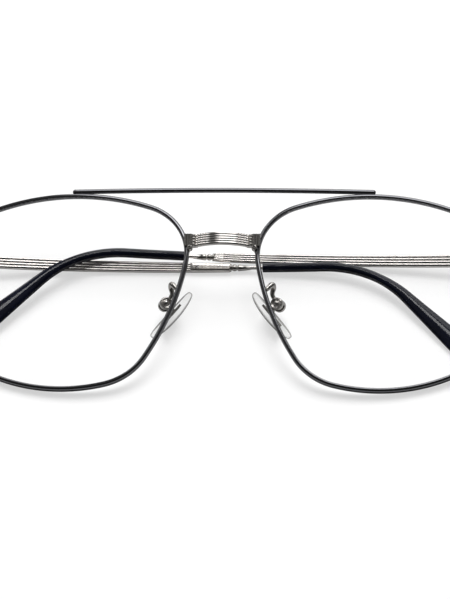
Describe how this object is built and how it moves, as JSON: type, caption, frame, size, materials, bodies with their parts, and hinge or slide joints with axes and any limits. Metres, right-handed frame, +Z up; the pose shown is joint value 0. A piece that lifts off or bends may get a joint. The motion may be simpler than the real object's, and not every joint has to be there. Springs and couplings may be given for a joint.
{
  "type": "double bridge glasses",
  "caption": "Metal double bridge eyeglass frame, folded on its back, with fluted temples that unfold and nose pads that rock.",
  "frame": {"origin": "Middle of the folded glasses' box in plan, on the table that they lie on.", "axes": "+X runs across the front toward the wearer's left lens as seen from the front's face, +Y points from the table edge nearest the cheeks to the brow, and +Z points up out of the table, about 15 degrees off the front's own face."},
  "size_m": [0.1416, 0.0462, 0.0148],
  "materials": {
    "gunmetal": "polished gunmetal plating",
    "silver_steel": "polished antique silver plating",
    "clear_lens": "clear, uncoated demo lens",
    "clear_silicone": "clear, satin",
    "navy_acetate": "polished"
  },
  "bodies": {
    "front": {"brow_bar": "gunmetal", "bridge": "silver_steel", "right_rim": "gunmetal", "left_rim": "gunmetal", "right_lens": "clear_lens", "left_lens": "clear_lens", "right_lock_blocks": "gunmetal", "left_lock_blocks": "gunmetal", "right_lock_screw": "silver_steel", "left_lock_screw": "silver_steel", "right_bridge_end": "silver_steel", "left_bridge_end": "silver_steel", "right_pad_arm": "silver_steel", "left_pad_arm": "silver_steel", "right_pad_clasp": "silver_steel", "left_pad_clasp": "silver_steel", "right_pad_screw": "silver_steel", "left_pad_screw": "silver_steel", "right_end_piece": "gunmetal", "left_end_piece": "gunmetal", "right_front_barrels": "gunmetal", "left_front_barrels": "gunmetal", "right_hinge_screw": "silver_steel", "left_hinge_screw": "silver_steel"},
    "right_temple": {"right_temple_barrel": "silver_steel", "right_temple_strip": "silver_steel", "right_temple_collar": "silver_steel", "right_temple_core": "silver_steel", "right_temple_tip": "navy_acetate"},
    "right_pad": {"right_pad_insert": "silver_steel", "right_nose_pad": "clear_silicone"},
    "left_temple": {"left_temple_barrel": "silver_steel", "left_temple_strip": "silver_steel", "left_temple_collar": "silver_steel", "left_temple_core": "silver_steel", "left_temple_tip": "navy_acetate"},
    "left_pad": {"left_pad_insert": "silver_steel", "left_nose_pad": "clear_silicone"}
  },
  "joints": [
    {"name": "right_temple_hinge", "type": "hinge", "parent": "front", "child": "right_temple", "pos_m": [0.06859, 0.00989, 0.00648], "axis": [-0.026, -0.9645, -0.2629], "range_deg": [0, 92]},
    {"name": "left_temple_hinge", "type": "hinge", "parent": "front", "child": "left_temple", "pos_m": [-0.06861, 0.00989, 0.00648], "axis": [0.0091, 0.9647, 0.263], "range_deg": [0, 92]},
    {"name": "right_pad_rock", "type": "hinge", "parent": "front", "child": "right_pad", "pos_m": [0.01239, -0.00159, 0.00418], "axis": [-0.2671, -0.3265, 0.9067], "range_deg": [-5, 5]},
    {"name": "left_pad_rock", "type": "hinge", "parent": "front", "child": "left_pad", "pos_m": [-0.01241, -0.00159, 0.00418], "axis": [0.2671, -0.3265, 0.9067], "range_deg": [-5, 5]}
  ]
}
